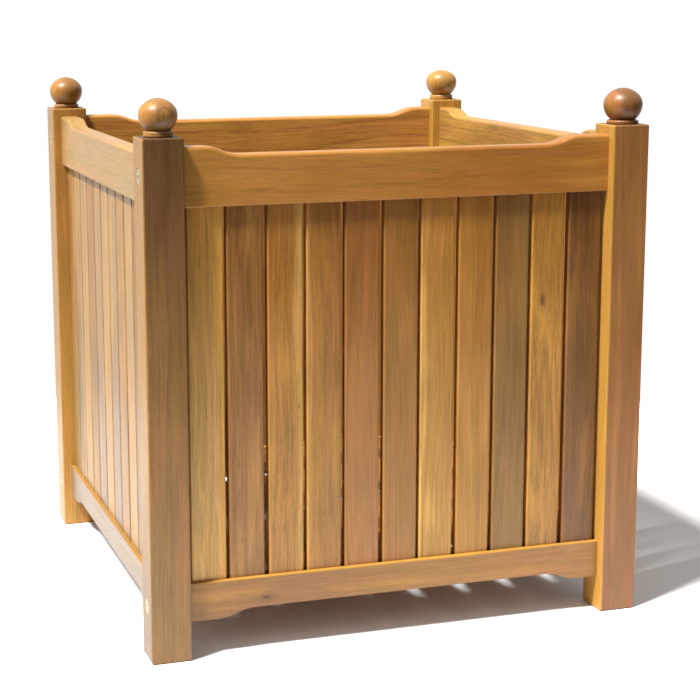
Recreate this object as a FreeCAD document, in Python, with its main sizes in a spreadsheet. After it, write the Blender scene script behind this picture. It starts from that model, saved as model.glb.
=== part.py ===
import FreeCAD, Part
import math
import operator
import os
import types
import Sketcher

# A square wooden planter box: four posts with turned ball finials, two rails on each side with
# a row of upright slats between them, and a loose slatted base that lifts out. Millimetres.
# +X runs along the front to the right, +Y from the front to the back, +Z up. The origin is on
# the ground, under the middle of the box. The long axis of each sub-part's own frame is named
# where it is built.

SIZES = {
    # whole box
    "width": 502.5,              # over the posts, the same both ways
    # posts
    "post_side": 38.5,
    "post_height": 491.5,
    "post_ease": 1.6,            # rounding of the long and top edges
    "foot_bevel": 1.4,
    # rails: a straight edge that takes the slats, and a shaped edge that steps out near the ends
    "rail_thickness": 20,
    "rail_round": 3.4,           # rounding along the shaped edge
    "rail_ease": 1,              # rounding along the straight edge
    "step_rise": 8,              # how far the ends stand out beyond the middle
    "step_length": 38,           # length of each S-shaped step
    "step_middle": 170,          # from the middle of the rail to the middle of a step
    "top_rail_level": 427.5,     # the top rail's straight lower edge
    "top_rail_depth": 47,        # at mid-length
    "bottom_rail_level": 72.5,   # the bottom rail's straight upper edge
    "bottom_rail_depth": 30.5,   # at mid-length
    # how far a rail's pair of steps was cut off centre, to the right as seen from outside
    "front_top_rail_shift": -4.5,
    "right_top_rail_shift": 8,
    "rear_top_rail_shift": -8.5,
    "left_top_rail_shift": 7,
    "front_bottom_rail_shift": 4.5,
    # joints between rails and posts
    "tenon_length": 13,
    "tenon_thickness": 10,
    "top_bolt_drop": 28.5,       # straight edge to bolt
    "bottom_bolt_drop": 20.5,
    "top_dowel_drop": 13.5,      # straight edge to dowel
    "bottom_dowel_drop": 32,
    # upright slats
    "slat_count": 11,
    "slat_width": 34.6,
    "slat_thickness": 10,
    "slat_pitch": 38.36,
    "slat_drift": 0.4,           # hand-set unevenness of the gaps
    "slat_play": 0.5,            # left at each end in the groove
    "slat_ease": 1.8,
    "groove_depth": 8,
    # loose base
    "base_slat_count": 9,
    "base_slat_width": 35,
    "base_slat_thickness": 12,
    "base_slat_pitch": 50.5,
    "base_play": 2,              # to the rails and posts
    "base_lift": 0.3,            # running gap over the ledges
    "cleat_width": 30,
    "cleat_thickness": 14,
    "cleat_place": 105,          # from the middle of the box
    "ledge_length": 340,
    "ledge_width": 18,
    "ledge_height": 15,
    "ledge_level": 58,           # top of the ledges
    "small_ease": 1,
    # bolts, sleeves and dowels
    "bolt_diameter": 6,
    "bolt_length": 50,
    "bolt_hole": 6.5,
    "bolt_head": 15,
    "bolt_head_height": 2,
    "bolt_head_ease": 0.5,
    "bolt_recess": 16,
    "bolt_socket": 4.6,          # across the corners of the hexagon
    "bolt_socket_depth": 1.6,
    "sleeve_diameter": 10,
    "sleeve_length": 18,
    "rail_dowel": 6,
    "rail_dowel_in_post": 12,
    "rail_dowel_in_rail": 18,
    "finial_dowel": 8,
    "finial_dowel_in_post": 20,
    "finial_dowel_in_ball": 15,
    # countersunk wood screws
    "screw_diameter": 3.5,
    "screw_head": 7,
    "screw_head_height": 2.6,
    "screw_drive": 3,
    "screw_drive_depth": 1.2,
    "base_screw_length": 22,
    "ledge_screw_length": 30,
    "ledge_screw_count": 3,
    "ledge_screw_pitch": 140,
    # finials: what the four share
    "ball_shoulder": 12.5,       # radius of the upper side curve
    "neck_height": 1.6,          # from the collar to the ball
    "neck_flare": 1,             # the neck's growth to the collar and to the ball
    "collar_round": 1.6,
}

# The finials are turned by hand, so each has sizes of its own; the ball's top is over the post.
FINIALS = {
    "front_left": {"ball_radius": 17.7, "ball_top": 34.6, "neck_radius": 11.6,
                   "collar_radius": 13.4, "collar_height": 5.6},
    "front_right": {"ball_radius": 18.9, "ball_top": 34.9, "neck_radius": 12.2,
                    "collar_radius": 15.4, "collar_height": 4},
    "rear_left": {"ball_radius": 18.3, "ball_top": 34.6, "neck_radius": 11.7,
                  "collar_radius": 13.8, "collar_height": 4.5},
    "rear_right": {"ball_radius": 18.4, "ball_top": 35.2, "neck_radius": 11.3,
                   "collar_radius": 13.8, "collar_height": 5.6},
}
SIZES.update({f"{corner}_{name}": length for corner, own in FINIALS.items() for name, length in own.items()})

UPRIGHT = FreeCAD.Rotation()
ALONG_X = FreeCAD.Rotation(FreeCAD.Vector(0, 1, 0), 90)
AGAINST_X = FreeCAD.Rotation(FreeCAD.Vector(0, 1, 0), -90)
ALONG_Y = FreeCAD.Rotation(FreeCAD.Vector(1, 0, 0), -90)
AGAINST_Y = FreeCAD.Rotation(FreeCAD.Vector(1, 0, 0), 90)

# Each side is built as the front and turned about the middle of the box.
SIDES = {"front": 0, "right": 90, "rear": 180, "left": 270}
BOLTED_SIDES = ("front", "rear")
LOOSE_SLAT_SIDES = ("front", "left")
CORNERS = {"front_left": (-1, -1), "front_right": (1, -1), "rear_left": (-1, 1), "rear_right": (1, 1)}

ARITHMETIC = {"+": operator.add, "-": operator.sub, "*": operator.mul, "/": operator.truediv}
WANDER_TURN = 137.5              # degrees from one slat's unevenness to the next
TOUCHING = 0.01                  # nearer than this counts as being in the same place
LEAST_CUT = 0.01                 # cubic millimetres

doc = FreeCAD.newDocument("PlanterBox")
subparts = {}


class Size:
    """A length: its present value, and the sheet expression that keeps it bound."""

    def __init__(self, value, text=None):
        self.value = float(value)
        self.text = text or f"({self.value})"

    def joined(self, sign, other):
        other = sized(other)
        value = ARITHMETIC[sign](self.value, other.value)
        return Size(value, f"({self.text} {sign} {other.text})")

    def __add__(self, other):
        return self.joined("+", other)

    def __sub__(self, other):
        return self.joined("-", other)

    def __mul__(self, other):
        return self.joined("*", other)

    def __truediv__(self, other):
        return self.joined("/", other)

    def __neg__(self):
        return sized(0).joined("-", self)

    def root(self):
        return Size(math.sqrt(self.value), f"sqrt({self.text})")


def sized(number):
    return number if isinstance(number, Size) else Size(number)


def make_sheet():
    """Put the driving dimensions in the sheet and give each its alias."""
    sheet = doc.addObject("Spreadsheet::Sheet", "Sizes")
    for row, (name, number) in enumerate(SIZES.items(), start=1):
        sheet.set(f"A{row}", name)
        sheet.set(f"B{row}", str(number))
        sheet.setAlias(f"B{row}", name)
    doc.recompute()
    return types.SimpleNamespace(**{name: Size(number, f"Sizes.{name}") for name, number in SIZES.items()})


size = make_sheet()
half_width = size.width / 2
post_half = size.post_side / 2
post_place = half_width - post_half
rail_half = half_width - size.post_side
rail_place = post_place            # rails and slats run down the middle of the posts

RAILS = {
    "top": types.SimpleNamespace(up=1, level=size.top_rail_level, depth=size.top_rail_depth,
                                 bolt=size.top_bolt_drop, dowel=size.top_dowel_drop),
    "bottom": types.SimpleNamespace(up=-1, level=size.bottom_rail_level, depth=size.bottom_rail_depth,
                                    bolt=size.bottom_bolt_drop, dowel=size.bottom_dowel_drop),
}


# ---- helpers ----

def bind(thing, **sizes):
    """Bind properties of a document object to sheet expressions."""
    for name, length in sizes.items():
        thing.setExpression(name, sized(length).text)


def place(thing, place_x=0, place_y=0, place_z=0, rotation=UPRIGHT):
    """Bind an object's position to the sheet and turn it by rotation."""
    thing.Placement = FreeCAD.Placement(FreeCAD.Vector(), rotation)
    for axis, coordinate in zip("xyz", (place_x, place_y, place_z)):
        thing.setExpression(f"Placement.Base.{axis}", sized(coordinate).text)


def place_on_side(thing, side, along, outward, level):
    """Place an object on one side of the box: along it, outward from the middle, and up."""
    turn = SIDES[side]
    cosine, sine = round(math.cos(math.radians(turn))), round(math.sin(math.radians(turn)))
    along, outward = sized(along), sized(outward)
    rotation = FreeCAD.Rotation(FreeCAD.Vector(0, 0, 1), turn)
    place(thing, along * cosine + outward * sine, along * sine - outward * cosine, level, rotation)


def new_body(label):
    body = doc.addObject("PartDesign::Body", label)
    body.Label = label
    return body


def add(body, kind, base=(0, 0, 0), rotation=UPRIGHT, **sizes):
    """Add a PartDesign primitive to a body, placed and bound."""
    feature = body.newObject(f"PartDesign::{kind}", kind)
    bind(feature, **sizes)
    place(feature, *base, rotation=rotation)
    return feature


def drill(body, diameter, depth, base, rotation):
    """A round hole from base, running along the turned Z axis."""
    return add(body, "SubtractiveCylinder", base, rotation, Radius=diameter / 2, Height=depth)


def low_end(side, face, depth):
    """The lower coordinate of a slot of some depth, cut inwards from the face on one side (+1, -1)."""
    return face - depth if side > 0 else -face


def dress(body, kind, chosen, **sizes):
    """A Fillet or Chamfer on those edges of the body's last feature whose box the test accepts."""
    doc.recompute()
    base = body.Tip
    edges = enumerate(base.Shape.Edges, start=1)
    names = [f"Edge{number}" for number, edge in edges if chosen(edge.BoundBox)]
    feature = body.newObject(f"PartDesign::{kind}", kind)
    feature.Base = (base, names)
    bind(feature, **sizes)
    return feature


def runs_upright(box):
    return box.ZLength > box.XLength + box.YLength


def runs_along_x(box):
    return box.XLength > box.YLength + box.ZLength


def runs_along_y(box):
    return box.YLength > box.XLength + box.ZLength


def origin_feature(body, role):
    return next(item for item in body.Origin.OriginFeatures if item.Role == role)


def repeat_along_x(body, originals, pitch, count):
    """Repeat features along the body's X axis, and stop if a copy is missing."""
    pattern = body.newObject("PartDesign::LinearPattern", "Row")
    pattern.Originals = originals
    pattern.Direction = (origin_feature(body, "X_Axis"), [""])
    pattern.Mode = "Spacing"
    bind(pattern, Offset=pitch, Occurrences=count)
    body.Tip = pattern
    doc.recompute()
    once = originals[0].BaseFeature.Shape.Volume - originals[-1].Shape.Volume
    removed = originals[0].BaseFeature.Shape.Volume - pattern.Shape.Volume
    if abs(removed - once * pattern.Occurrences) > LEAST_CUT * pattern.Occurrences:
        raise RuntimeError(f"{body.Label}: a repeated cut is missing")
    return pattern


def arc_centre(start, end, radius, left):
    """Centre of an arc from start to end, on the left or right of that direction."""
    chord = end - start
    reach = math.sqrt(radius ** 2 - (chord.Length / 2) ** 2)
    normal = FreeCAD.Vector(-chord.y, chord.x, 0).normalize()
    return (start + end) * 0.5 + normal * (reach if left else -reach)


def draw_outline(body, plane, corners, arcs):
    """A closed, fully bound sketch: corners are (x, y) sizes, and arcs gives an edge's number its
    radius and whether its centre lies to the left."""
    sketch = body.newObject("Sketcher::SketchObject", "Outline")
    sketch.AttachmentSupport = [(origin_feature(body, plane), "")]
    sketch.MapMode = "FlatFace"
    corners = [(sized(first), sized(second)) for first, second in corners]
    points = [FreeCAD.Vector(first.value, second.value, 0) for first, second in corners]
    starts = []
    for number, start in enumerate(points):
        end = points[(number + 1) % len(points)]
        if number not in arcs:
            sketch.addGeometry(Part.LineSegment(start, end))
            starts.append((1, 2))
            continue
        radius, left = arcs[number]
        centre = arc_centre(start, end, radius.value, left)
        first, last = (start, end) if left else (end, start)
        angles = [math.atan2(point.y - centre.y, point.x - centre.x) for point in (first, last)]
        if angles[1] < angles[0]:
            angles[1] += 2 * math.pi
        circle = Part.Circle(centre, FreeCAD.Vector(0, 0, 1), radius.value)
        sketch.addGeometry(Part.ArcOfCircle(circle, *angles))
        starts.append((1, 2) if left else (2, 1))
    for number, (first, second) in enumerate(corners):
        following = (number + 1) % len(points)
        joined = (number, starts[number][1], following, starts[following][0])
        sketch.addConstraint(Sketcher.Constraint("Coincident", *joined))
        for kind, axis_geometry, coordinate in (("DistanceX", -2, first), ("DistanceY", -1, second)):
            point = starts[number][0]
            if coordinate.value == 0:
                sketch.addConstraint(Sketcher.Constraint("PointOnObject", number, point, axis_geometry))
                continue
            held = Sketcher.Constraint(kind, -1, 1, number, point, coordinate.value)
            sketch.setExpression(f"Constraints[{sketch.addConstraint(held)}]", coordinate.text)
        if number in arcs:
            held = Sketcher.Constraint("Radius", number, arcs[number][0].value)
            sketch.setExpression(f"Constraints[{sketch.addConstraint(held)}]", arcs[number][0].text)
    return sketch


def group(label, members):
    """One node that holds several separate solids."""
    compound = doc.addObject("Part::Compound", label)
    compound.Links = members
    compound.Label = label
    subparts[label] = compound


def copy_of(original, number, **where):
    """A placed copy of a small piece that is used many times."""
    link = doc.addObject("App::Link", f"{original.Label}_{number}")
    link.LinkedObject = original
    place(link, **where)
    return link


# ---- posts and finials ----

def make_post(corner):
    """A post about its own upright centre line, with the mortises, bolt and dowel holes."""
    side_x, side_y = CORNERS[corner]
    body = new_body(f"{corner}_post")
    add(body, "AdditiveBox", (-post_half, -post_half, 0),
        Length=size.post_side, Width=size.post_side, Height=size.post_height)
    dress(body, "Fillet", lambda box: box.ZMax > TOUCHING, Radius=size.post_ease)
    dress(body, "Chamfer", lambda box: box.ZMax < TOUCHING, Size=size.foot_bevel)
    for rail in RAILS.values():
        tenon_height = rail.depth - size.groove_depth
        lowest = rail.level + size.groove_depth if rail.up > 0 else rail.level - rail.depth
        mortise_y = low_end(-side_y, post_half, size.tenon_length)
        add(body, "SubtractiveBox", (-size.tenon_thickness / 2, mortise_y, lowest),
            Length=size.tenon_thickness, Width=size.tenon_length, Height=tenon_height)
        bolt_level = rail.level + rail.bolt * rail.up
        drill(body, size.bolt_hole, size.post_side, (-post_half, 0, bolt_level), ALONG_X)
        recess_x = low_end(side_x, post_half, size.bolt_head_height)
        drill(body, size.bolt_recess, size.bolt_head_height, (recess_x, 0, bolt_level), ALONG_X)
        dowel_x = low_end(-side_x, post_half, size.rail_dowel_in_post)
        dowel_level = rail.level + rail.dowel * rail.up
        drill(body, size.rail_dowel, size.rail_dowel_in_post, (dowel_x, 0, dowel_level), ALONG_X)
    top_hole = size.post_height - size.finial_dowel_in_post
    drill(body, size.finial_dowel, size.finial_dowel_in_post, (0, 0, top_hole), UPRIGHT)
    place(body, post_place * side_x, post_place * side_y, 0)
    subparts[body.Label] = body


def make_finial(corner):
    """A turned ball on a rounded collar, standing on the post; its axis is Z."""
    side_x, side_y = CORNERS[corner]
    body = new_body(f"{corner}_finial")
    own = types.SimpleNamespace(**{name: getattr(size, f"{corner}_{name}") for name in FINIALS[corner]})
    flared_neck = own.neck_radius + size.neck_flare
    ball_foot = own.collar_height + size.neck_height
    ball_middle = ball_foot + (own.ball_radius * own.ball_radius - flared_neck * flared_neck).root()
    rise = own.ball_top - ball_middle
    squares = own.ball_radius * own.ball_radius + rise * rise
    crown = (squares - own.ball_radius * size.ball_shoulder * 2) / (rise * 2 - size.ball_shoulder * 2)
    crown_centre = own.ball_top - crown
    reach = crown / (crown - size.ball_shoulder)
    shoulder_x = (own.ball_radius - size.ball_shoulder) * reach
    shoulder_z = crown_centre + (ball_middle - crown_centre) * reach
    corners = [
        (0, 0),
        (own.collar_radius - size.collar_round, 0),
        (own.collar_radius, size.collar_round),
        (own.collar_radius, own.collar_height - size.collar_round),
        (own.collar_radius - size.collar_round, own.collar_height),
        (flared_neck, own.collar_height),
        (own.neck_radius, own.collar_height + size.neck_height / 2),
        (flared_neck, ball_foot),
        (own.ball_radius, ball_middle),
        (shoulder_x, shoulder_z),
        (0, own.ball_top),
    ]
    arcs = {1: (size.collar_round, True), 3: (size.collar_round, True), 7: (own.ball_radius, True),
            8: (size.ball_shoulder, True), 9: (crown, True)}
    sketch = draw_outline(body, "XZ_Plane", corners, arcs)
    turned = body.newObject("PartDesign::Revolution", "Turned")
    turned.Profile = (sketch, [""])
    turned.ReferenceAxis = (sketch, ["V_Axis"])
    turned.Angle = 360
    drill(body, size.finial_dowel, size.finial_dowel_in_ball, (0, 0, 0), UPRIGHT)
    place(body, post_place * side_x, post_place * side_y, size.post_height)
    subparts[body.Label] = body


# ---- rails ----

def rail_corners(rail, shift):
    """Outline of a rail seen from outside, its straight edge on the X axis and centred."""
    middle = rail.depth * rail.up
    ends = (rail.depth + size.step_rise) * rail.up
    halfway = (rail.depth + size.step_rise / 2) * rail.up
    half_step = size.step_length / 2
    right = size.step_middle + shift
    left = shift - size.step_middle
    return [
        (-rail_half, 0), (rail_half, 0), (rail_half, ends),
        (right + half_step, ends), (right, halfway), (right - half_step, middle),
        (left + half_step, middle), (left, halfway), (left - half_step, ends),
        (-rail_half, ends),
    ]


def make_rail(side, height_name):
    """A rail along its own X axis, thickness along Y, its straight edge at Z = 0."""
    rail = RAILS[height_name]
    body = new_body(f"{side}_{height_name}_rail")
    shift = getattr(size, f"{body.Label}_shift", sized(0))
    bend = (size.step_length * size.step_length + size.step_rise * size.step_rise) / (size.step_rise * 4)
    inner_left = rail.up > 0
    arcs = {3: (bend, inner_left), 4: (bend, not inner_left),
            6: (bend, not inner_left), 7: (bend, inner_left)}
    sketch = draw_outline(body, "XZ_Plane", rail_corners(rail, shift), arcs)
    pad = body.newObject("PartDesign::Pad", "Plank")
    pad.Profile = (sketch, [""])
    pad.SideType = "Symmetric"
    bind(pad, Length=size.rail_thickness)
    dress(body, "Fillet", lambda box: runs_along_x(box) and abs(box.Center.z) > TOUCHING,
          Radius=size.rail_round)
    dress(body, "Fillet", lambda box: runs_along_x(box) and abs(box.Center.z) < TOUCHING,
          Radius=size.rail_ease)
    groove_low = sized(0) if rail.up > 0 else -size.groove_depth
    add(body, "SubtractiveBox", (-rail_half, -size.slat_thickness / 2, groove_low),
        Length=rail_half * 2, Width=size.slat_thickness, Height=size.groove_depth)
    for end in (-1, 1):
        if side in BOLTED_SIDES:
            drill(body, size.sleeve_diameter, size.sleeve_length,
                  (low_end(end, rail_half, size.sleeve_length), 0, rail.bolt * rail.up), ALONG_X)
            drill(body, size.rail_dowel, size.rail_dowel_in_rail,
                  (low_end(end, rail_half, size.rail_dowel_in_rail), 0, rail.dowel * rail.up), ALONG_X)
        else:
            tenon_x = rail_half if end > 0 else -rail_half - size.tenon_length
            tenon_z = size.groove_depth if rail.up > 0 else -rail.depth
            add(body, "AdditiveBox", (tenon_x, -size.tenon_thickness / 2, tenon_z),
                Length=size.tenon_length, Width=size.tenon_thickness, Height=rail.depth - size.groove_depth)
    if side in BOLTED_SIDES and rail.up < 0:
        ledge_middle = size.ledge_level - size.ledge_height / 2 - rail.level
        depth = size.ledge_screw_length - size.ledge_width
        pilot = drill(body, size.screw_diameter, depth,
                      (-size.ledge_screw_pitch, size.rail_thickness / 2 - depth, ledge_middle), ALONG_Y)
        repeat_along_x(body, [pilot], size.ledge_screw_pitch, size.ledge_screw_count)
    place_on_side(body, side, 0, rail_place, rail.level)
    subparts[body.Label] = body


# ---- upright slats ----

def make_slat(side, number):
    """An upright slat, width along X and thickness along Y, its foot at Z = 0."""
    body = new_body(f"{side}_slat_{number:02d}")
    groove_floor = size.bottom_rail_level - size.groove_depth
    height = size.top_rail_level + size.groove_depth - groove_floor - size.slat_play * 2
    add(body, "AdditiveBox", (-size.slat_width / 2, -size.slat_thickness / 2, 0),
        Length=size.slat_width, Width=size.slat_thickness, Height=height)
    dress(body, "Fillet", runs_upright, Radius=size.slat_ease)
    wander = round(math.sin(math.radians(WANDER_TURN * number + SIDES[side])), 3)
    along = size.slat_pitch * number - size.slat_pitch * (size.slat_count + 1) / 2 + size.slat_drift * wander
    place_on_side(body, side, along, rail_place, groove_floor + size.slat_play)
    return body


def make_slats(side):
    """The row of slats of one side: a node each, or one group of separate solids."""
    slats = [make_slat(side, number) for number in range(1, SIZES["slat_count"] + 1)]
    if side in LOOSE_SLAT_SIDES:
        subparts.update((slat.Label, slat) for slat in slats)
    else:
        group(f"{side}_slats", slats)


# ---- loose base ----

base_level = size.ledge_level + size.base_lift
inner_face = rail_place - size.rail_thickness / 2


def base_slat_place(number):
    return size.base_slat_pitch * number - size.base_slat_pitch * (size.base_slat_count + 1) / 2


def make_base_slat(number):
    """A base slat along Y, with two screw holes in its underside; the end ones pass between the posts."""
    body = new_body(f"base_slat_{number}")
    between_posts = number in (1, SIZES["base_slat_count"])
    half_length = (rail_half if between_posts else inner_face) - size.base_play
    add(body, "AdditiveBox", (-size.base_slat_width / 2, -half_length, 0),
        Length=size.base_slat_width, Width=half_length * 2, Height=size.base_slat_thickness)
    dress(body, "Fillet", runs_along_y, Radius=size.small_ease)
    for cleat_y in (-size.cleat_place, size.cleat_place):
        drill(body, size.screw_diameter, size.base_screw_length - size.cleat_thickness,
              (0, cleat_y, 0), UPRIGHT)
    place(body, base_slat_place(number), 0, base_level)
    subparts[body.Label] = body


def make_cleat(name, side_y):
    """A cleat along X under the base slats, drilled and countersunk from below."""
    body = new_body(f"{name}_base_cleat")
    half_length = size.base_slat_pitch * (size.base_slat_count - 1) / 2 + size.cleat_width / 2
    add(body, "AdditiveBox", (-half_length, -size.cleat_width / 2, 0),
        Length=half_length * 2, Width=size.cleat_width, Height=size.cleat_thickness)
    dress(body, "Fillet", runs_along_x, Radius=size.small_ease)
    first = base_slat_place(1)
    shank = drill(body, size.screw_diameter, size.cleat_thickness, (first, 0, 0), UPRIGHT)
    sink = add(body, "SubtractiveCone", (first, 0, 0), Radius1=size.screw_head / 2,
               Radius2=size.screw_diameter / 2, Height=size.screw_head_height)
    repeat_along_x(body, [shank, sink], size.base_slat_pitch, size.base_slat_count)
    place(body, 0, size.cleat_place * side_y, base_level - size.cleat_thickness)
    subparts[body.Label] = body


def make_ledge(side):
    """A ledge along X on the inner face of a bottom rail, drilled and countersunk from the inside."""
    body = new_body(f"{side}_ledge")
    half_height, half_depth = size.ledge_height / 2, size.ledge_width / 2
    add(body, "AdditiveBox", (-size.ledge_length / 2, -half_depth, -half_height),
        Length=size.ledge_length, Width=size.ledge_width, Height=size.ledge_height)
    dress(body, "Fillet", runs_along_x, Radius=size.small_ease)
    first = -size.ledge_screw_pitch
    shank = drill(body, size.screw_diameter, size.ledge_width, (first, half_depth, 0), AGAINST_Y)
    sink = add(body, "SubtractiveCone", (first, half_depth, 0), AGAINST_Y, Radius1=size.screw_head / 2,
               Radius2=size.screw_diameter / 2, Height=size.screw_head_height)
    repeat_along_x(body, [shank, sink], size.ledge_screw_pitch, size.ledge_screw_count)
    place_on_side(body, side, 0, inner_face - half_depth, size.ledge_level - half_height)
    subparts[body.Label] = body


# ---- fasteners, each with its axis along Z and its head or mouth at Z = 0 ----

def make_bolt():
    """A flat-headed furniture bolt with a hexagon socket."""
    body = new_body("frame_bolt")
    add(body, "AdditiveCylinder", Radius=size.bolt_head / 2, Height=size.bolt_head_height)
    dress(body, "Fillet", lambda box: box.ZMax < TOUCHING, Radius=size.bolt_head_ease)
    add(body, "AdditiveCylinder", (0, 0, size.bolt_head_height), Radius=size.bolt_diameter / 2,
        Height=size.bolt_length)
    add(body, "SubtractivePrism", Circumradius=size.bolt_socket / 2, Height=size.bolt_socket_depth)
    return body


def make_sleeve():
    """A threaded sleeve for the end of a rail, bored for the bolt."""
    body = new_body("threaded_sleeve")
    add(body, "AdditiveCylinder", Radius=size.sleeve_diameter / 2, Height=size.sleeve_length)
    drill(body, size.bolt_diameter, size.sleeve_length, (0, 0, 0), UPRIGHT)
    return body


def make_dowel(label, diameter, length):
    """A plain wooden dowel with bevelled ends."""
    body = new_body(label)
    add(body, "AdditiveCylinder", Radius=diameter / 2, Height=length)
    dress(body, "Chamfer", lambda box: box.ZLength < TOUCHING, Size=size.bolt_head_ease)
    return body


def make_screw(label, length):
    """A countersunk wood screw with a six-point drive."""
    body = new_body(label)
    add(body, "AdditiveCone", Radius1=size.screw_head / 2, Radius2=size.screw_diameter / 2,
        Height=size.screw_head_height)
    add(body, "AdditiveCylinder", (0, 0, size.screw_head_height), Radius=size.screw_diameter / 2,
        Height=length - size.screw_head_height)
    add(body, "SubtractivePrism", Circumradius=size.screw_drive / 2, Height=size.screw_drive_depth)
    return body


def make_frame_fasteners():
    """The bolt, sleeve and dowel at each end of each bolted rail."""
    bolt, sleeve = make_bolt(), make_sleeve()
    dowel = make_dowel("rail_dowel", size.rail_dowel, size.rail_dowel_in_post + size.rail_dowel_in_rail)
    bolts, sleeves, dowels = [], [], []
    for side_x, side_y in CORNERS.values():
        for rail in RAILS.values():
            inward = ALONG_X if side_x < 0 else AGAINST_X
            number = len(bolts) + 1
            line = {"place_y": rail_place * side_y, "rotation": inward}
            bolt_level = rail.level + rail.bolt * rail.up
            dowel_level = rail.level + rail.dowel * rail.up
            dowel_start = (rail_half + size.rail_dowel_in_post) * side_x
            bolts.append(copy_of(bolt, number, place_x=half_width * side_x, place_z=bolt_level, **line))
            sleeves.append(copy_of(sleeve, number, place_x=rail_half * side_x, place_z=bolt_level, **line))
            dowels.append(copy_of(dowel, number, place_x=dowel_start, place_z=dowel_level, **line))
    group("frame_bolts", bolts)
    group("threaded_sleeves", sleeves)
    group("rail_dowels", dowels)


def make_finial_dowels():
    length = size.finial_dowel_in_post + size.finial_dowel_in_ball
    dowel = make_dowel("finial_dowel", size.finial_dowel, length)
    level = size.post_height - size.finial_dowel_in_post
    group("finial_dowels", [
        copy_of(dowel, number, place_x=post_place * side_x, place_y=post_place * side_y, place_z=level)
        for number, (side_x, side_y) in enumerate(CORNERS.values(), start=1)])


def make_screws():
    """The screws through the ledges into the rails, and through the cleats into the base slats."""
    ledge_screw = make_screw("ledge_screw", size.ledge_screw_length)
    base_screw = make_screw("base_screw", size.base_screw_length)
    ledge_screws, base_screws = [], []
    ledge_level = size.ledge_level - size.ledge_height / 2
    head_place = inner_face - size.ledge_width
    for side_y, outward in ((-1, AGAINST_Y), (1, ALONG_Y)):
        for step in (-1, 0, 1):
            ledge_screws.append(copy_of(ledge_screw, len(ledge_screws) + 1,
                                        place_x=size.ledge_screw_pitch * step,
                                        place_y=head_place * side_y, place_z=ledge_level,
                                        rotation=outward))
        for number in range(1, SIZES["base_slat_count"] + 1):
            base_screws.append(copy_of(base_screw, len(base_screws) + 1, place_x=base_slat_place(number),
                                       place_y=size.cleat_place * side_y,
                                       place_z=base_level - size.cleat_thickness))
    group("ledge_screws", ledge_screws)
    group("base_screws", base_screws)


# ---- checks and files ----

def check_document():
    """Stop if an object failed, a cut removed nothing, or a sub-part has no valid shape."""
    for item in doc.Objects:
        if "Invalid" in item.State or "Error" in item.State:
            raise RuntimeError(f"{item.Label} failed: {item.State}")
        if item.TypeId.startswith("PartDesign::Subtractive"):
            if item.Shape.Volume > item.BaseFeature.Shape.Volume - LEAST_CUT:
                raise RuntimeError(f"{item.Label} in {item.getParentGeoFeatureGroup().Label} cuts nothing")
    for name, item in subparts.items():
        if item.Shape.isNull() or not item.Shape.isValid():
            raise RuntimeError(f"{name} has no valid shape")


def write_parts():
    os.makedirs("parts", exist_ok=True)
    for name, item in subparts.items():
        item.Shape.exportStep(os.path.join("parts", f"{name}.step"))
        print(f"{name}: {len(item.Shape.Solids)} solid(s), {item.Shape.Volume / 1000:.1f} cm3")


for corner_name in CORNERS:
    make_post(corner_name)
    make_finial(corner_name)
for side_name in SIDES:
    make_rail(side_name, "top")
    make_rail(side_name, "bottom")
    make_slats(side_name)
for slat_number in range(1, SIZES["base_slat_count"] + 1):
    make_base_slat(slat_number)
make_cleat("front", -1)
make_cleat("rear", 1)
for side_name in BOLTED_SIDES:
    make_ledge(side_name)
make_frame_fasteners()
make_finial_dowels()
make_screws()
doc.recompute()
check_document()
write_parts()
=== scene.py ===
import math

import bpy
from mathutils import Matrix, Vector


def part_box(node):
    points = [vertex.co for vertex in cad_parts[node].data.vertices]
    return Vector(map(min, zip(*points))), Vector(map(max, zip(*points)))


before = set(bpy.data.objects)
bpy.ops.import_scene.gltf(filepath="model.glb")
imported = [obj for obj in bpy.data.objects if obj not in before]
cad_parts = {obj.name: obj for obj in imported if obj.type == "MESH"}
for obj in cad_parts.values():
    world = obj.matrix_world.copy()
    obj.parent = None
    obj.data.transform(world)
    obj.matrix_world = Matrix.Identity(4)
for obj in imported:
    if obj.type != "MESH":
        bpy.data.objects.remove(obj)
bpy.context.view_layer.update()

# The looks of a slatted hardwood planter box. Every visible piece is a CAD node, so the work here is
# the wood: one procedural grain, cut differently for each board, and its finish.
# Metres in the scene; the wood is described in millimetres.

MM = 0.001

# ---- shader helpers ----

# The mix node has sockets of the same names for each data type; these are the ones for colours.
COLOUR_MIX_INPUTS = (0, 6, 7)
COLOUR_MIX_OUTPUT = 2


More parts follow.
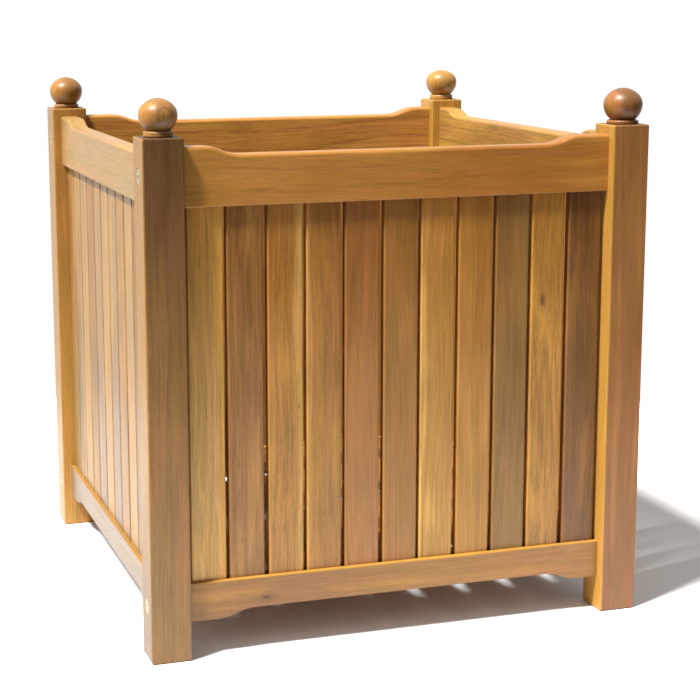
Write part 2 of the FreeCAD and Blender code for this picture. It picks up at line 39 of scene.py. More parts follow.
class Graph:
    """A node tree, and short ways to add nodes to it."""

    def __init__(self, tree):
        self.tree = tree

    def feed(self, socket, value):
        """Connect an output to a socket, or set the socket's own value."""
        if isinstance(value, bpy.types.NodeSocket):
            self.tree.links.new(value, socket)
        else:
            socket.default_value = value

    def node(self, kind, settings=None, **inputs):
        """A node with its settings, and inputs by name with _ for a space."""
        made = self.tree.nodes.new(kind)
        for name, value in (settings or {}).items():
            setattr(made, name, value)
        for name, value in inputs.items():
            self.feed(made.inputs[name.replace("_", " ")], value)
        return made

    def math(self, operation, *values, clamp=False):
        made = self.node("ShaderNodeMath", {"operation": operation, "use_clamp": clamp})
        for socket, value in zip(made.inputs, values):
            self.feed(socket, value)
        return made.outputs[0]

    def hypotenuse(self, across, up):
        """The distance of a point from zero, by its two coordinates."""
        squares = self.math("ADD", self.math("MULTIPLY", across, across), self.math("MULTIPLY", up, up))
        return self.math("SQRT", squares)

    def vector_math(self, operation, *values):
        made = self.node("ShaderNodeVectorMath", {"operation": operation})
        for socket, value in zip(made.inputs, values):
            self.feed(socket, value)
        return made.outputs["Vector"]

    def scaled(self, vector, x, y, z):
        return self.vector_math("MULTIPLY", vector, (x, y, z))

    def split(self, vector):
        return self.node("ShaderNodeSeparateXYZ", Vector=vector).outputs

    def combine(self, x, y, z):
        return self.node("ShaderNodeCombineXYZ", X=x, Y=y, Z=z).outputs[0]

    def noise(self, vector, detail=2.0, roughness=0.5):
        made = self.node("ShaderNodeTexNoise", Vector=vector, Scale=1.0, Detail=detail,
                         Roughness=roughness)
        return made.outputs["Fac"]

    def noise_along(self, value, detail=2.0, roughness=0.5):
        """Noise along a line: bands of uneven width."""
        made = self.node("ShaderNodeTexNoise", {"noise_dimensions": "1D"}, W=value, Scale=1.0,
                         Detail=detail, Roughness=roughness)
        return made.outputs["Fac"]

    def smooth(self, value, low, high, to_low=0.0, to_high=1.0):
        """A soft step of value from low to high."""
        made = self.node("ShaderNodeMapRange", {"interpolation_type": "SMOOTHSTEP"})
        for name, number in (("Value", value), ("From Min", low), ("From Max", high),
                             ("To Min", to_low), ("To Max", to_high)):
            self.feed(made.inputs[name], number)
        return made.outputs["Result"]

    def mix(self, share, first, second, blend="MIX"):
        """The first colour, blended with this share of the second."""
        made = self.node("ShaderNodeMix", {"data_type": "RGBA", "blend_type": blend})
        for number, value in zip(COLOUR_MIX_INPUTS, (share, first, second)):
            self.feed(made.inputs[number], value)
        return made.outputs[COLOUR_MIX_OUTPUT]


def new_group(name, inputs, outputs):
    """An empty node group with its sockets: returns it, its graph, and its input and output nodes."""
    tree = bpy.data.node_groups.new(name, "ShaderNodeTree")
    for socket, kind in inputs.items():
        tree.interface.new_socket(socket, in_out="INPUT", socket_type=f"NodeSocket{kind}")
    for socket, kind in outputs.items():
        tree.interface.new_socket(socket, in_out="OUTPUT", socket_type=f"NodeSocket{kind}")
    graph = Graph(tree)
    return tree, graph, graph.node("NodeGroupInput").outputs, graph.node("NodeGroupOutput").inputs


# ---- wood ----

# How often each pattern repeats, per mm: across the face, through the thickness and along the grain.
WANDER_SCALE = (0.010, 0.010, 0.0045)
STREAK_SCALE = (0.40, 0.40, 0.010)
HUE_SCALE = (0.17, 0.17, 0.007)
FINE_SCALE = (1.5, 1.5, 0.034)
FLECK_SCALE = (1.5, 1.5, 0.085)
PORE_SCALE = (2.3, 2.3, 0.14)
CLOUD_SCALE = (0.035, 0.035, 0.010)
RUB_SCALE = (0.25, 0.25, 0.05)
BROAD_RING_SCALE = 0.15
NARROW_RING_SCALE = 0.62
# How far the grain wanders, in mm.
WANDER = (16.0, 16.0, 0.0)
# How much each pattern lightens or darkens the wood, as a share.
RING_CONTRAST = 0.07
FINE_CONTRAST = 0.12
STREAK_CONTRAST = 0.15
CLOUD_CONTRAST = 0.10
FLECK_SHADE = 0.10
PORE_SHADE = 0.17
KNOT_SHADE = 0.40
KNOT_HALO_SHADE = 0.24
END_SHADE = 0.24
# How much the pattern of hues changes red, green and blue.
HUE_CONTRAST = (0.05, -0.015, 0.15)
# How much of the darker and lighter tones and of the edge bands shows.
DARK_SHARE = 0.75
LIGHT_SHARE = 0.8
BAND_SHARE = 0.9
# Around a knot, lengths along the grain count for this much, so that it is drawn out.
ALONG_KNOT = 0.4
# How far apart in the noise boards with neighbouring seeds lie.
SEED_STEP = (13.7, -7.3, 29.1)
RING_SEED_STEP = 71.0


def bend_grain(g, board, seed):
    """Grain lines bend gently along the board, and part around a knot. Gives a point's place in the
    grain, and its distance from the knot in knot sizes. Noise lies mostly between 0.25 and 0.75, with
    its middle at 0.5, and so do the steps that use it here and below."""
    x, y, z = g.split(board["Place"])
    wander_place = g.vector_math("ADD", g.scaled(board["Place"], *WANDER_SCALE), seed)
    wander = g.node("ShaderNodeTexNoise", Vector=wander_place, Scale=1.0, Detail=1.0, Roughness=0.4)
    shift = g.vector_math("SUBTRACT", wander.outputs["Color"], (0.5, 0.5, 0.5))
    knot_x, knot_size, knot_z = g.split(board["Knot"])
    from_x = g.math("SUBTRACT", x, knot_x)
    from_z = g.math("MULTIPLY", g.math("SUBTRACT", z, knot_z), ALONG_KNOT)
    reach = g.math("DIVIDE", g.hypotenuse(from_x, from_z), knot_size)
    parting = g.math("MULTIPLY", knot_size, g.smooth(reach, 0.3, 6.0, 1.5, 0.0))
    outwards = g.math("DIVIDE", from_x, g.math("MULTIPLY", knot_size, g.math("ADD", reach, 0.4)))
    parted_x = g.math("SUBTRACT", x, g.math("MULTIPLY", parting, outwards))
    return g.vector_math("ADD", g.combine(parted_x, y, z), g.scaled(shift, *WANDER)), reach


def growth_rings(g, board, bent, z):
    """Broad and narrow bands of uneven width, by the distance from the pith."""
    pith_x, pith_y, lean = g.split(board["Pith"])
    bent_x, bent_y, _ = g.split(bent)
    to_x = g.math("ADD", g.math("SUBTRACT", bent_x, pith_x), g.math("MULTIPLY", lean, z))
    to_y = g.math("SUBTRACT", bent_y, pith_y)
    rings = g.math("ADD", g.hypotenuse(to_x, to_y), g.math("MULTIPLY", board["Seed"], RING_SEED_STEP))
    broad = g.noise_along(g.math("MULTIPLY", rings, BROAD_RING_SCALE), detail=1.0)
    narrow = g.noise_along(g.math("MULTIPLY", rings, NARROW_RING_SCALE), detail=2.0, roughness=0.6)
    return broad, narrow


def edge_bands(g, board, colour, along, x, bent_x, half_x):
    """The colour with the bands along the board's edges, which sway a little with the grain."""
    # Left Foot: painted shade towards the foot of a post's lit left face.
    left_tone = g.mix(g.smooth(along, 0.0, -1.0), board["Left"], board["Left Foot"])
    for name, edge_sign, tone in (("Left", -1.0, left_tone), ("Right", 1.0, board["Right"])):
        width = board[f"{name} Width"]
        sway_share = g.math("MULTIPLY", width, 0.15, clamp=True)
        sway = g.math("MULTIPLY", g.math("SUBTRACT", bent_x, x), sway_share)
        from_edge = g.math("SUBTRACT", half_x, g.math("MULTIPLY", g.math("ADD", x, sway), edge_sign))
        fade = g.math("MULTIPLY_ADD", width, 0.35, 0.5)
        band = g.smooth(g.math("DIVIDE", g.math("SUBTRACT", from_edge, width), fade), 1.0, -1.0)
        band = g.math("MULTIPLY", band, g.math("GREATER_THAN", width, 0.01))
        colour = g.mix(g.math("MULTIPLY", band, BAND_SHARE), colour, tone)
    return colour


def make_grain():
    """The wood itself, as a node group. Lengths are in mm.

    Place is a point of the board from its middle: X across its face, Y through its thickness and Z along
    the grain. Half Size is half the board's size the same way. Main is the tone of the upper, right or
    rear half, and Foot that of the other. Dark and Light are the tones that Main and Foot vary between.
    Left and Right are bands along the edges; on a rail they lie below and above, and Left Foot is the
    left band's tone at the foot of a post. On the posts, the bottom rails and the finials the bands are
    painted light and shade; on the slats they are streaks of the wood's own tone. Top Tint multiplies
    the colour at the top; on the front slats it is painted shade under the top rail. Side Tint
    multiplies the colour of the narrow faces, as painted shade in the gaps between slats. Pith says
    where the middle of the tree lay, across and behind, and how it leans.
    Knot says where a knot is across and along, with its size in between. Figure scales the contrast."""
    tones = ("Main", "Foot", "Top Tint", "Side Tint", "Dark", "Light", "Left", "Left Foot", "Right")
    sockets = dict.fromkeys(("Place", "Half Size", "Pith", "Knot"), "Vector")
    sockets.update(dict.fromkeys(tones, "Color"))
    sockets.update(dict.fromkeys(("Seed", "Left Width", "Right Width", "Figure"), "Float"))
    tree, g, board, out = new_group("Hardwood", sockets,
                                    {"Color": "Color", "Roughness": "Float", "Height": "Float"})
    seed = g.combine(*(g.math("MULTIPLY", board["Seed"], step) for step in SEED_STEP))
    x, y, z = g.split(board["Place"])
    half_x, half_y, half_z = g.split(board["Half Size"])
    bent, reach = bend_grain(g, board, seed)
    broad, narrow = growth_rings(g, board, bent, z)

    # streaks, flecks and pores, long and thin along the grain
    grain = g.vector_math("ADD", bent, seed)
    streaks = g.noise(g.scaled(grain, *STREAK_SCALE), detail=3.0, roughness=0.68)
    hues = g.noise(g.scaled(grain, *HUE_SCALE), detail=2.0, roughness=0.6)
    fine = g.noise(g.scaled(grain, *FINE_SCALE), detail=2.0, roughness=0.65)
    flecks = g.smooth(g.noise(g.scaled(grain, *FLECK_SCALE), detail=1.0), 0.27, 0.38, 1.0, 0.0)
    pores = g.smooth(g.noise(g.scaled(grain, *PORE_SCALE), detail=0.0), 0.30, 0.40, 1.0, 0.0)
    clouds = g.noise(g.vector_math("ADD", g.scaled(board["Place"], *CLOUD_SCALE), seed), detail=1.0)

    # colour: the main tone between a darker and a lighter one, tinted at the top, then the edge bands
    along = g.math("ADD", g.math("DIVIDE", z, half_z), g.math("MULTIPLY_ADD", streaks, 0.5, -0.25))
    colour = g.mix(g.smooth(along, 0.75, -0.75), board["Main"], board["Foot"])
    darker = g.smooth(g.math("ADD", g.math("MULTIPLY", broad, 0.6), g.math("MULTIPLY", streaks, 0.4)),
                      0.47, 0.26)
    lighter = g.smooth(g.math("ADD", g.math("MULTIPLY", broad, 0.45), g.math("MULTIPLY", clouds, 0.55)),
                       0.50, 0.68)
    colour = g.mix(g.math("MULTIPLY", darker, DARK_SHARE), colour, board["Dark"])
    colour = g.mix(g.math("MULTIPLY", lighter, LIGHT_SHARE), colour, board["Light"])
    # Top Tint: on the front slats this is painted shade under the top rail.
    top_colour = g.mix(1.0, colour, board["Top Tint"], blend="MULTIPLY")
    colour = g.mix(g.smooth(along, -0.15, 1.05), colour, top_colour)
    colour = edge_bands(g, board, colour, along, x, g.split(bent)["X"], half_x)
    hue = g.smooth(hues, 0.30, 0.70, -1.0, 1.0)
    tint = g.combine(*(g.math("MULTIPLY_ADD", hue, contrast, 1.0) for contrast in HUE_CONTRAST))
    colour = g.mix(1.0, colour, tint, blend="MULTIPLY")

    # brightness: every pattern adds to it, and Figure scales the sum
    value = g.math("ADD", g.smooth(narrow, 0.25, 0.75, -RING_CONTRAST, RING_CONTRAST),
                   g.smooth(fine, 0.30, 0.70, -FINE_CONTRAST, FINE_CONTRAST))
    value = g.math("ADD", value, g.smooth(streaks, 0.30, 0.70, -STREAK_CONTRAST, STREAK_CONTRAST))
    value = g.math("ADD", value, g.smooth(clouds, 0.25, 0.75, -CLOUD_CONTRAST, CLOUD_CONTRAST))
    value = g.math("SUBTRACT", g.math("ADD", value, 1.01), g.math("MULTIPLY", flecks, FLECK_SHADE))
    value = g.math("SUBTRACT", value, g.math("MULTIPLY", pores, PORE_SHADE))
    value = g.math("MULTIPLY_ADD", g.math("SUBTRACT", value, 1.0), board["Figure"], 1.0)
    knot = g.math("ADD", g.smooth(reach, 0.3, 1.1, KNOT_SHADE, 0.0),
                  g.smooth(reach, 0.5, 3.4, KNOT_HALO_SHADE, 0.0))
    value = g.math("MULTIPLY", value, g.math("SUBTRACT", 1.0, knot))

    # end grain is darker, worn edges are paler, and the narrow faces get the side tint, a painted shade
    # for the gaps between slats
    edge_x = g.math("SUBTRACT", half_x, g.math("ABSOLUTE", x))
    edge_y = g.math("SUBTRACT", half_y, g.math("ABSOLUTE", y))
    edge_z = g.math("SUBTRACT", half_z, g.math("ABSOLUTE", z))
    end = g.smooth(edge_z, 0.05, 0.6, END_SHADE, 0.0)
    value = g.math("MULTIPLY", value, g.math("SUBTRACT", 1.0, end))
    rub = g.noise(g.scaled(board["Place"], *RUB_SCALE), detail=2.0)
    near_edge = g.smooth(g.math("ADD", edge_x, edge_y), 2.8, 0.4)
    wear = g.math("MULTIPLY", near_edge, g.smooth(rub, 0.35, 0.65, 0.10, 0.42))
    colour = g.mix(1.0, colour, g.combine(value, value, value), blend="MULTIPLY")
    colour = g.mix(wear, colour, board["Light"])
    shaded_side = g.math("MULTIPLY", g.smooth(edge_x, 0.5, 0.1), g.smooth(edge_y, 1.4, 2.6))
    colour = g.mix(shaded_side, colour, g.mix(1.0, colour, board["Side Tint"], blend="MULTIPLY"))
    g.feed(out["Color"], colour)

    # pores and end grain are rougher, and pores, flecks and knots lie deeper
    rough = g.math("ADD", g.smooth(fine, 0.25, 0.75, 0.0, 0.08), g.math("MULTIPLY", pores, 0.14))
    rough = g.math("ADD", rough, g.smooth(clouds, 0.25, 0.75, 0.30, 0.40))
    g.feed(out["Roughness"], g.math("ADD", rough, g.math("MULTIPLY", end, 0.8)))
    height = g.math("SUBTRACT", g.math("MULTIPLY_ADD", fine, 0.35, g.math("MULTIPLY", streaks, 0.5)),
                    g.math("MULTIPLY", pores, 0.55))
    height = g.math("SUBTRACT", height, g.math("MULTIPLY", flecks, 0.35))
    g.feed(out["Height"], g.math("SUBTRACT", height, knot))
    return tree


grain_group = make_grain()

# Reflectances of the wood: (red, green, blue).
PALE = (0.52, 0.33, 0.14)
STRAW = (0.56, 0.31, 0.085)
SAP = (0.46, 0.25, 0.060)
SUNNY = (0.47, 0.235, 0.037)
SAND = (0.43, 0.22, 0.052)
WHEAT = (0.37, 0.205, 0.060)
FAWN = (0.32, 0.172, 0.048)
DUN = (0.235, 0.138, 0.048)
ASH = (0.205, 0.135, 0.085)
COPPER = (0.50, 0.215, 0.041)
HONEY = (0.38, 0.19, 0.040)
GOLD = (0.345, 0.16, 0.032)
OCHRE = (0.340, 0.166, 0.024)
AMBER = (0.345, 0.130, 0.018)
APRICOT = (0.40, 0.175, 0.030)
TAN = (0.285, 0.13, 0.030)
CLAY = (0.31, 0.135, 0.034)
ORANGE = (0.31, 0.12, 0.024)
RUSSET = (0.265, 0.11, 0.028)
BROWN = (0.245, 0.11, 0.028)
OLIVE = (0.215, 0.110, 0.028)
CHESTNUT = (0.235, 0.092, 0.028)
UMBER = (0.165, 0.072, 0.022)
COCOA = (0.195, 0.084, 0.024)
WALNUT = (0.110, 0.046, 0.015)
BEECH = (0.60, 0.44, 0.26)

NO_TINT = (1.0, 1.0, 1.0)
# A small knot far past the end of any board.
NO_KNOT = (0.0, 1.0, 10000.0)

AXES = {"X": 0, "Y": 1, "Z": 2}
# Which way a board's width, thickness and length lie, by the way its grain runs and the face it shows.
FRONT_UPRIGHT = "XYZ"
SIDE_UPRIGHT = "YXZ"
ALONG_FRONT = "ZYX"
ALONG_SIDE = "ZXY"
FLAT_ALONG_DEPTH = "XZY"
FLAT_ALONG_FRONT = "YZX"


def millimetres(g):
    """The point of the surface, in mm."""
    place = g.vector_math("SCALE", g.node("ShaderNodeTexCoord").outputs["Object"])
    place.node.inputs["Scale"].default_value = 1 / MM
    return place


def board_place(g, node, order):
    """The board's own coordinates, in mm: width, thickness and length, and half its size."""
    low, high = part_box(node)
    middle, half = (low + high) / 2 / MM, (high - low) / 2 / MM
    parts = g.split(g.vector_math("SUBTRACT", millimetres(g), tuple(middle)))
    return g.combine(*(parts[AXES[axis]] for axis in order)), tuple(half[AXES[axis]] for axis in order)


# The depth of the grain's relief, in mm.
GRAIN_DEPTH = 0.06


def wood_shader(g, colour, roughness, height):
    """A satin, oiled finish over the wood."""
    relief = g.node("ShaderNodeBump", Height=height, Strength=0.5, Distance=GRAIN_DEPTH * MM)
    shader = g.node("ShaderNodeBsdfPrincipled", Base_Color=colour, Roughness=roughness,
                    Normal=relief.outputs["Normal"])
    shader.inputs["Specular IOR Level"].default_value = 0.5
    output = g.node("ShaderNodeOutputMaterial")
    g.feed(output.inputs["Surface"], shader.outputs["BSDF"])


def new_material(name):
    """A material with no nodes yet, and the graph to add them to."""
    material = bpy.data.materials.new(name)
    material.use_nodes = True
    material.node_tree.nodes.clear()
    return material, Graph(material.node_tree)


# Where the pith lies from a board's middle, in mm, and how much it leans.
PITH_ASIDE = 60
PITH_BEHIND = -45
PITH_BEHIND_SPREAD = 14
PITH_LEAN = 0.03


def pith_of(seed):
    """Where the pith lay for a flat-sawn board: somewhere to one side, behind it, and leaning a little.
    The factors inside the sines only scatter the boards."""
    aside = PITH_ASIDE * math.sin(12.9 * seed)
    behind = PITH_BEHIND - PITH_BEHIND_SPREAD * math.sin(7.7 * seed)
    return aside, behind, PITH_LEAN * math.sin(3.3 * seed)


def add_wood(g, place, half, seed, pith, main, dark, light, foot=None, top_tint=NO_TINT,
             side_tint=NO_TINT, left=None, left_foot=None, right=None, knot=NO_KNOT, figure=1.0):
    """The wood of a board: its tones, its tints, its edge bands as (tone, width), and a knot as (across,
    size, along), in mm from the board's middle. A tone is three numbers or a node's output."""
    left_tone, left_width = left or (main, 0.0)
    right_tone, right_width = right or (main, 0.0)
    wood = g.node("ShaderNodeGroup", {"node_tree": grain_group})
    tones = {"Main": main, "Foot": foot or main, "Top Tint": top_tint, "Side Tint": side_tint,
             "Dark": dark, "Light": light, "Left": left_tone, "Left Foot": left_foot or left_tone,
             "Right": right_tone}
    for name, tone in tones.items():
        g.feed(wood.inputs[name], (*tone, 1) if isinstance(tone, tuple) else tone)
    others = {"Place": place, "Half Size": half, "Seed": seed, "Left Width": left_width,
              "Right Width": right_width, "Knot": knot, "Pith": pith, "Figure": figure}
    for name, value in others.items():
        g.feed(wood.inputs[name], value)
    wood_shader(g, *(wood.outputs[name] for name in ("Color", "Roughness", "Height")))


def make_board(node, order, seed, **look):
    """The material of a node that is one board."""
    material, g = new_material(f"wood_{node}")
    place, half = board_place(g, node, order)
    look.setdefault("pith", pith_of(seed))
    add_wood(g, place, half, float(seed), **look)
    dress(node, material)


# How many tones further on each next board of a row takes its own.
TONE_STEP = 3.0


def make_row(node, order, count, pitch, tones, dark, light, seed):
    """The material of a node that holds a row of upright boards, each with a tone of its own."""
    material, g = new_material(f"wood_{node}")
    place, half = board_place(g, node, order)
    across, through, along = g.split(place)
    offset = (count - 1) / 2
    number = g.math("ROUND", g.math("MULTIPLY_ADD", across, 1 / pitch, offset))
    own_middle = g.math("MULTIPLY", g.math("SUBTRACT", number, offset), pitch)
    own_place = g.combine(g.math("SUBTRACT", across, own_middle), through, along)
    own_half = (half[0] - offset * pitch, half[1], half[2])
    main = (*tones[0], 1)
    choice = g.math("MODULO", g.math("MULTIPLY", number, TONE_STEP), float(len(tones)))
    for later, tone in enumerate(tones[1:], start=1):
        main = g.mix(g.math("COMPARE", choice, float(later), 0.5), main, (*tone, 1))
    own_seed = g.math("ADD", number, float(seed))
    add_wood(g, own_place, own_half, own_seed, pith_of(seed), main, dark, light, foot=main)
    dress(node, material)


def dress(node, material):
    """Give a CAD node its material."""
    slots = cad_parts[node].data.materials
    slots.clear()
    slots.append(material)


def scaled(tone, factor):
    """A tone made darker or lighter."""
    return tuple(part * factor for part in tone)


# ---- every board ----

# The slats, from left to right.
FRONT_SLATS = [
    dict(main=SAP, foot=STRAW, dark=HONEY, light=SAP, right=(SUNNY, 6.0)),
    dict(main=BROWN, dark=UMBER, light=FAWN, figure=1.25),
    dict(main=GOLD, dark=BROWN, light=HONEY, right=(SAP, 7.0), knot=(12.6, 0.9, -15.0)),
    dict(main=TAN, dark=RUSSET, light=GOLD, left=(SAND, 5.0)),
    dict(main=RUSSET, foot=CLAY, dark=CHESTNUT, light=CLAY, figure=0.7),
    dict(main=TAN, dark=COCOA, light=GOLD, figure=0.7),
    dict(main=HONEY, dark=GOLD, light=STRAW, figure=0.7),
    dict(main=GOLD, dark=TAN, light=HONEY, figure=0.7),
    dict(main=OLIVE, dark=COCOA, light=TAN, right=(OLIVE, 5.0), figure=0.8),
    dict(main=HONEY, foot=GOLD, dark=RUSSET, light=SUNNY, knot=(-5.0, 2.4, 72.0), figure=1.2),
    dict(main=UMBER, dark=WALNUT, light=BROWN),
]
# Painted shade: the front slats are made darker and redder towards their tops, under the top rail, and
# on their narrow faces in the gaps between them.
SHADE_UNDER_RAIL = (0.93, 0.80, 0.55)
SHADE_IN_FRONT_GAP = (1.10, 0.72, 0.15)
# The left slats' gaps get a deeper painted shade.
SHADE_IN_LEFT_GAP = scaled(SHADE_IN_FRONT_GAP, 0.45)
# The slats, from rear to front.
# Their Foot tones, mostly darker than Main, are painted shade towards the bottom.
LEFT_SLATS = [
    dict(main=TAN, foot=DUN, dark=BROWN, light=FAWN),
    dict(main=FAWN, foot=ASH, dark=DUN, light=WHEAT),
    dict(main=WHEAT, foot=FAWN, dark=DUN, light=WHEAT),
    dict(main=TAN, foot=OLIVE, dark=BROWN, light=FAWN),
    dict(main=FAWN, foot=ASH, dark=RUSSET, light=WHEAT, figure=1.2),
    dict(main=WHEAT, foot=FAWN, dark=TAN, light=WHEAT),
    dict(main=FAWN, foot=ASH, dark=DUN, light=WHEAT),
    dict(main=GOLD, foot=BROWN, dark=BROWN, light=FAWN, figure=1.2),
    dict(main=WHEAT, foot=FAWN, dark=UMBER, light=FAWN),
    dict(main=CHESTNUT, foot=ASH, dark=UMBER, light=FAWN),
    dict(main=SUNNY, foot=SAP, dark=HONEY, light=STRAW),
]
# The posts' left bands are painted light on their lit left faces and edges; the front left post's Left
# Foot is painted shade at its foot.
BOARDS = {
    "front_left_post": dict(main=BROWN, foot=OLIVE, top_tint=(0.50, 0.50, 0.55), dark=UMBER, light=BROWN,
                            left=(OCHRE, 1.2), left_foot=scaled(OLIVE, 0.65), figure=0.9),
    "front_right_post": dict(main=RUSSET, foot=CHESTNUT, dark=BROWN, light=CLAY, left=(SUNNY, 1.6),
                             figure=0.6),
    "rear_left_post": dict(main=GOLD, foot=SUNNY, dark=AMBER, light=APRICOT, left=(FAWN, 1.2),
                           figure=0.8),
    "rear_right_post": dict(main=SUNNY, dark=COPPER, light=SAND),
    "front_top_rail": dict(main=AMBER, foot=APRICOT, dark=ORANGE, light=APRICOT, figure=0.65),
    # The bottom rails' thin upper (right) bands are painted highlights along their sunlit top edges.
    "front_bottom_rail": dict(main=TAN, foot=BROWN, dark=BROWN, light=GOLD, right=(SUNNY, 0.8),
                              knot=(-2.0, 2.2, -137.0), figure=0.7),
    "left_top_rail": dict(main=WHEAT, dark=FAWN, light=WHEAT, figure=0.6),
    "left_bottom_rail": dict(main=ASH, dark=DUN, light=scaled(ASH, 1.3), right=(OCHRE, 0.8), figure=0.7),
    "rear_top_rail": dict(main=COPPER, dark=ORANGE, light=SUNNY),
    "rear_bottom_rail": dict(main=COPPER, dark=ORANGE, light=SAND),
    "right_top_rail": dict(main=HONEY, dark=ORANGE, light=SUNNY),
    "right_bottom_rail": dict(main=GOLD, dark=TAN, light=SAND),
}
# The finials: the pith is near the ball, so that the rings show as ovals.
# Their left bands are painted light on the balls' lit left sides, and the right bands are painted shade.
FINIALS = {
    "front_left": dict(main=TAN, dark=UMBER, light=HONEY, left=(APRICOT, 9.0), right=(BROWN, 9.0),
                       pith=(7.0, -30.0, 0.0)),
    "front_right": dict(main=COCOA, dark=UMBER, light=ORANGE, left=(ORANGE, 8.0),
                        pith=(-9.0, -27.0, 0.0)),
    "rear_left": dict(main=TAN, dark=BROWN, light=SAND, left=(APRICOT, 8.0), pith=(-12.0, -28.0, 0.0)),
    "rear_right": dict(main=SAND, dark=TAN, light=SAND, left=(SUNNY, 9.0), right=(TAN, 6.0),
                       pith=(9.0, -30.0, 0.0)),
}
ROW_TONES = (HONEY, BROWN, CLAY, SAND, TAN, RUSSET, GOLD)
# In mm.
SLAT_PITCH = 38.36
SLATS_IN_ROW = 11
BASE_TONES = (RUSSET, BROWN, CHESTNUT)
BASE_SLATS = 9

# Every board has a seed of its own; these are where the groups of boards start.
LEFT_SEED = 20
FRAME_SEED = 40
FINIAL_SEED = 60
BASE_SEED = 70
CLEAT_SEED = 90
REAR_ROW_SEED = 100
RIGHT_ROW_SEED = 120
DOWEL_SEED = 140


def order_of(node):
    """How a board of the frame lies: posts stand, and rails run along the front or the side."""
    if node.endswith("_post"):
        return FRONT_UPRIGHT
    return ALONG_FRONT if node.startswith(("front", "rear")) else ALONG_SIDE


def dress_boards():
    for number, look in enumerate(FRONT_SLATS, start=1):
        make_board(f"front_slat_{number:02d}", FRONT_UPRIGHT, number,
                   top_tint=SHADE_UNDER_RAIL, side_tint=SHADE_IN_FRONT_GAP, **look)
    for number, look in enumerate(LEFT_SLATS, start=1):
        make_board(f"left_slat_{number:02d}", SIDE_UPRIGHT, LEFT_SEED + number,
                   side_tint=SHADE_IN_LEFT_GAP, **look)
    for number, (node, look) in enumerate(BOARDS.items(), start=1):
        make_board(node, order_of(node), FRAME_SEED + number, **look)
    for number, (corner, look) in enumerate(FINIALS.items(), start=1):
        make_board(f"{corner}_finial", FRONT_UPRIGHT, FINIAL_SEED + number, **look)
    for number in range(1, BASE_SLATS + 1):
        tone = BASE_TONES[number % len(BASE_TONES)]
        make_board(f"base_slat_{number}", FLAT_ALONG_DEPTH, BASE_SEED + number,
                   main=tone, dark=UMBER, light=TAN)
    for number, node in enumerate(("front_base_cleat", "rear_base_cleat", "front_ledge", "rear_ledge")):
        make_board(node, FLAT_ALONG_FRONT, CLEAT_SEED + number, main=BROWN, dark=UMBER, light=TAN)
    row = (SLATS_IN_ROW, SLAT_PITCH, ROW_TONES, BROWN, HONEY)
    make_row("rear_slats", FRONT_UPRIGHT, *row, REAR_ROW_SEED)
    make_row("right_slats", SIDE_UPRIGHT, *row, RIGHT_ROW_SEED)
    dowel_tones = dict(main=BEECH, dark=PALE, light=BEECH)
    make_board("rail_dowels", ALONG_FRONT, DOWEL_SEED, **dowel_tones)
    make_board("finial_dowels", FRONT_UPRIGHT, DOWEL_SEED + 1, **dowel_tones)


# ---- metal ----

BRASS = (0.52, 0.44, 0.29)
STEEL = (0.62, 0.61, 0.58)
METALS = {"frame_bolts": BRASS, "threaded_sleeves": BRASS, "ledge_screws": STEEL, "base_screws": STEEL}
SPECK_SCALE = 1.6
SPECK_SHADE = 0.72
METAL_SHARE = 0.7


def make_metal(name, tone):
    """A dulled metal with darker, rougher specks."""
    material, g = new_material(name)
    specks = g.noise(g.scaled(millimetres(g), SPECK_SCALE, SPECK_SCALE, SPECK_SCALE), detail=3.0)
    colour = g.mix(g.smooth(specks, 0.4, 0.7), (*tone, 1), (*scaled(tone, SPECK_SHADE), 1))
    shader = g.node("ShaderNodeBsdfPrincipled", Base_Color=colour, Metallic=METAL_SHARE,
                    Roughness=g.smooth(specks, 0.3, 0.7, 0.44, 0.60))
    g.feed(g.node("ShaderNodeOutputMaterial").inputs["Surface"], shader.outputs["BSDF"])
    return material


def dress_metal():
    for node, tone in METALS.items():
        dress(node, make_metal(f"metal_{node}", tone))


# ---- stage ----

FLOOR_TONE = (0.90, 0.895, 0.885, 1)
FLOOR_RADIUS = 0.9
FLOOR_SIDES = 96


def make_floor():
    """A round, pale floor. Past its edge the sky's glow goes on below, and the camera sees white."""
    mesh = bpy.data.meshes.new("floor")
    turns = [2 * math.pi * number / FLOOR_SIDES for number in range(FLOOR_SIDES)]
    rim = [(FLOOR_RADIUS * math.cos(turn), FLOOR_RADIUS * math.sin(turn), 0) for turn in turns]
    mesh.from_pydata(rim, [], [range(FLOOR_SIDES)])
    floor = bpy.data.objects.new("floor", mesh)
    bpy.context.collection.objects.link(floor)
    material, g = new_material("floor_paint")
    shader = g.node("ShaderNodeBsdfDiffuse", Color=FLOOR_TONE)
    g.feed(g.node("ShaderNodeOutputMaterial").inputs["Surface"], shader.outputs["BSDF"])
    mesh.materials.append(material)


SUN_STRENGTH = 7.6
SUN_ANGLE = 8.0
SUN_TRAVEL = (0.445, 0.18, -0.86)


def make_sun():
    """A wide, soft sun, from the left, the front and high above."""
    sun = bpy.data.objects.new("sun", bpy.data.lights.new("sun", "SUN"))
    sun.data.energy = SUN_STRENGTH
    sun.data.angle = math.radians(SUN_ANGLE)
    sun.rotation_euler = Vector(SUN_TRAVEL).to_track_quat("-Z", "Y").to_euler()
    bpy.context.collection.objects.link(sun)


BACKDROP_GLOW = 1.05
FRONT_GLOW = 0.02
OVERHEAD_GLOW = 0.66
ZENITH_GLOW = 0.05
# How far back or up each change of glow starts and ends, as part of a direction of length 1.
BACKDROP_RISE = (-0.10, 0.60)
BACKDROP_FADE = (0.75, 0.05)
ZENITH_FADE = (0.80, 0.96)
SKY_TONE = (0.98, 0.99, 1.0, 1)
WHITE = (1.0, 1.0, 1.0, 1)


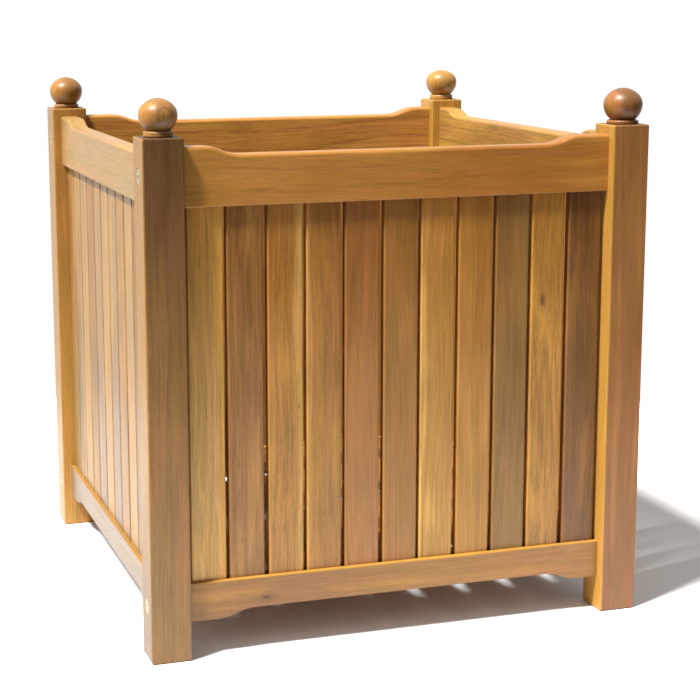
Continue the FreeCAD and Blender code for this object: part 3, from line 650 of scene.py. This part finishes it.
def make_sky():
    """The studio: a bright backdrop behind the box, dimmer overhead, and nearly dark both straight up
    and towards the camera."""
    world = bpy.data.worlds.new("studio")
    world.use_nodes = True
    world.node_tree.nodes.clear()
    g = Graph(world.node_tree)
    _, back, up = g.split(g.node("ShaderNodeTexCoord").outputs["Generated"])
    around = g.smooth(back, *BACKDROP_RISE, FRONT_GLOW, BACKDROP_GLOW)
    low = g.smooth(up, *BACKDROP_FADE)
    overhead = g.smooth(up, *ZENITH_FADE, OVERHEAD_GLOW, ZENITH_GLOW)
    glow = g.math("ADD", g.math("MULTIPLY", low, around),
                  g.math("MULTIPLY", g.math("SUBTRACT", 1.0, low), overhead))
    sky = g.node("ShaderNodeBackground", Color=SKY_TONE, Strength=glow)
    seen = g.node("ShaderNodeBackground", Color=WHITE, Strength=1.0)
    camera_ray = g.node("ShaderNodeLightPath").outputs["Is Camera Ray"]
    both = g.node("ShaderNodeMixShader", Fac=camera_ray)
    g.feed(both.inputs[1], sky.outputs[0])
    g.feed(both.inputs[2], seen.outputs[0])
    g.feed(g.node("ShaderNodeOutputWorld").inputs["Surface"], both.outputs[0])
    bpy.context.scene.world = world


# Metres and degrees; mm for the lens and the sensor.
CAMERA_PLACE = (-0.5810, -1.7426, 0.6106)
CAMERA_AZIMUTH = -17.44
CAMERA_DOWN = 10.55
CAMERA_ROLL = 0.27
CAMERA_LENS = 88.4
CAMERA_SENSOR = 36.0
CAMERA_SHIFT = (0.0842, -0.041)


def make_camera():
    camera = bpy.data.objects.new("camera", bpy.data.cameras.new("camera"))
    camera.data.sensor_width = CAMERA_SENSOR
    camera.data.lens = CAMERA_LENS
    camera.data.shift_x, camera.data.shift_y = CAMERA_SHIFT
    camera.location = CAMERA_PLACE
    angles = (90 - CAMERA_DOWN, CAMERA_ROLL, CAMERA_AZIMUTH)
    camera.rotation_euler = tuple(math.radians(angle) for angle in angles)
    bpy.context.collection.objects.link(camera)
    bpy.context.scene.camera = camera


make_camera()
make_floor()
make_sun()
make_sky()
bpy.context.scene.view_settings.view_transform = "Standard"
dress_boards()
dress_metal()
